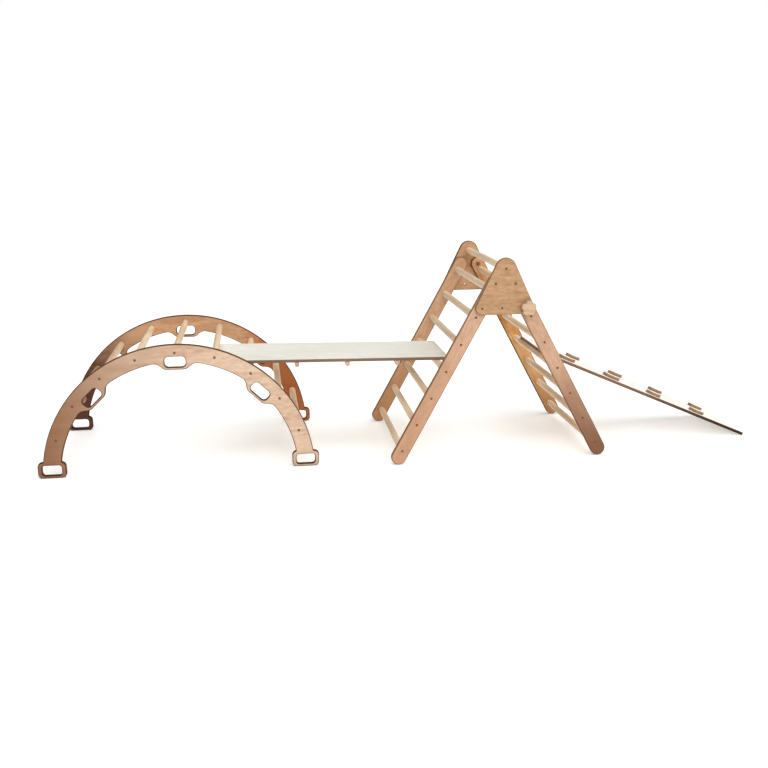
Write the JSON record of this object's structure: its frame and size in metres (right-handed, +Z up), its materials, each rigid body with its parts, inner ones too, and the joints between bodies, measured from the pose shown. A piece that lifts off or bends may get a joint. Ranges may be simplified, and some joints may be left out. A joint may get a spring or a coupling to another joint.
{
  "type": "toddler slide and climbing set",
  "caption": "Wooden climbing set for toddlers: a rung arch with handle slots, a slide board, a folding ladder triangle locked by star knobs, and a ramp with climbing stones.",
  "frame": {"origin": "on the floor below the middle of the set's bounding box", "axes": "+X along the row from the arch to the ramp, +Y from the front to the rear, +Z up"},
  "size_m": [2.825, 0.694, 0.786],
  "materials": {
    "birch_ply": "satin birch plywood, faces pinkish tan, edges darker",
    "dowel": "satin pale beech",
    "board_wood": "smooth satin pale plywood",
    "batten_wood": "satin solid wood",
    "stone_wood": "satin plywood",
    "knob_wood": "satin pale wood",
    "steel": "dark burnished steel"
  },
  "bodies": {
    "left_ladder": {"left_rail_front": "birch_ply", "left_rail_rear": "birch_ply", "left_rung_1": "dowel", "left_rung_2": "dowel", "left_rung_3": "dowel", "left_rung_4": "dowel", "left_rung_5": "dowel", "left_rung_6": "dowel", "left_rung_7": "dowel", "left_ladder_screws": "steel", "gusset_front": "birch_ply", "gusset_rear": "birch_ply", "apex_rung": "dowel", "gusset_screws": "steel", "pivot_bolts": "steel"},
    "right_ladder": {"right_rail_front": "birch_ply", "right_rail_rear": "birch_ply", "right_rung_1": "dowel", "right_rung_2": "dowel", "right_rung_3": "dowel", "right_rung_4": "dowel", "right_rung_5": "dowel", "right_rung_6": "dowel", "right_rung_7": "dowel", "right_ladder_screws": "steel"},
    "knob_front": {"star_knob_front": "knob_wood", "knob_stud_front": "steel"},
    "knob_rear": {"star_knob_rear": "knob_wood", "knob_stud_rear": "steel"},
    "arch": {"arch_side_front": "birch_ply", "arch_side_rear": "birch_ply", "arch_rung_1": "dowel", "arch_rung_2": "dowel", "arch_rung_3": "dowel", "arch_rung_4": "dowel", "arch_rung_5": "dowel", "arch_rung_6": "dowel", "arch_rung_7": "dowel", "arch_rung_8": "dowel", "arch_rung_9": "dowel", "arch_screws": "steel"},
    "slide": {"slide_board": "board_wood", "slide_batten_1": "batten_wood", "slide_batten_2": "batten_wood", "slide_batten_3": "batten_wood", "slide_batten_4": "batten_wood"},
    "ramp": {"ramp_board": "board_wood", "ramp_batten": "batten_wood", "stone_near_1": "stone_wood", "stone_near_2": "stone_wood", "stone_near_3": "stone_wood", "stone_near_4": "stone_wood", "stone_far_1": "stone_wood", "stone_far_2": "stone_wood", "stone_far_3": "stone_wood", "stone_far_4": "stone_wood"}
  },
  "joints": [
    {"name": "ladder_fold", "type": "hinge", "parent": "left_ladder", "child": "right_ladder", "pos_m": [0.3596, -0.009, 0.68987], "axis": [0, 1, 0], "range_deg": [0, 57]},
    {"name": "ramp_hook", "type": "hinge", "parent": "right_ladder", "child": "ramp", "pos_m": [0.53901, -0.009, 0.35944], "axis": [0, 1, 0], "range_deg": [-57, 0]},
    {"name": "knob_front_turn", "type": "hinge", "parent": "left_ladder", "child": "knob_front", "pos_m": [0.40875, -0.324, 0.59935], "axis": [0, 1, 0], "continuous": true},
    {"name": "knob_rear_turn", "type": "hinge", "parent": "left_ladder", "child": "knob_rear", "pos_m": [0.40875, 0.306, 0.59935], "axis": [0, 1, 0], "continuous": true},
    {"name": "arch_part", "type": "slide", "parent": "left_ladder", "child": "arch", "axis": [-1, 0, 0], "range_m": [0, 0.06]},
    {"name": "slide_lift", "type": "slide", "parent": "left_ladder", "child": "slide", "axis": [0, 0, 1], "range_m": [0, 0.02]}
  ],
  "couplings": [
    {"joint": "ramp_hook", "follows": "ladder_fold", "ratio": -1}
  ]
}
